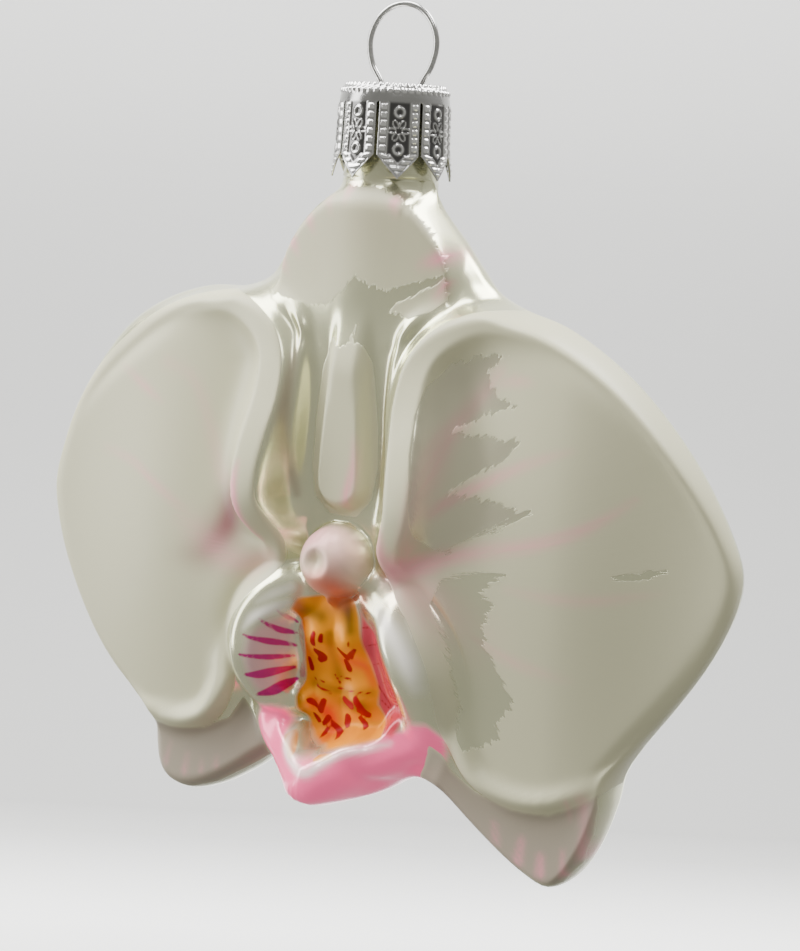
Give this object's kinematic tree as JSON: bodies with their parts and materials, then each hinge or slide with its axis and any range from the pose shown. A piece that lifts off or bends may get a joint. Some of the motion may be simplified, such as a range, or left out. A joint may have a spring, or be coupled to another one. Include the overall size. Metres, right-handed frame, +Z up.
{
  "type": "orchid blossom hanging ornament",
  "caption": "Hollow blown-glass hanging ornament shaped as an open moth-orchid blossom, with a stamped crown cap and a wire hanging loop.",
  "frame": {"origin": "the hanging point: inside the top of the wire loop, where a hook carries the ornament", "axes": "+Z up as it hangs, the blossom faces -Y, +X to the right of someone who looks at its face"},
  "size_m": [0.0959, 0.0242, 0.1044],
  "materials": {
    "painted_glass": "silvered glass with a pearl-white coat, brushed matt white paint on the petals, magenta, yellow and dark red paint in the lip",
    "cap_metal": "bright silver-coloured stamped sheet",
    "wire_metal": "bright drawn spring wire"
  },
  "bodies": {
    "root": {"glass_blossom": "painted_glass", "crown_cap": "cap_metal", "hanging_wire": "wire_metal"}
  },
  "joints": []
}
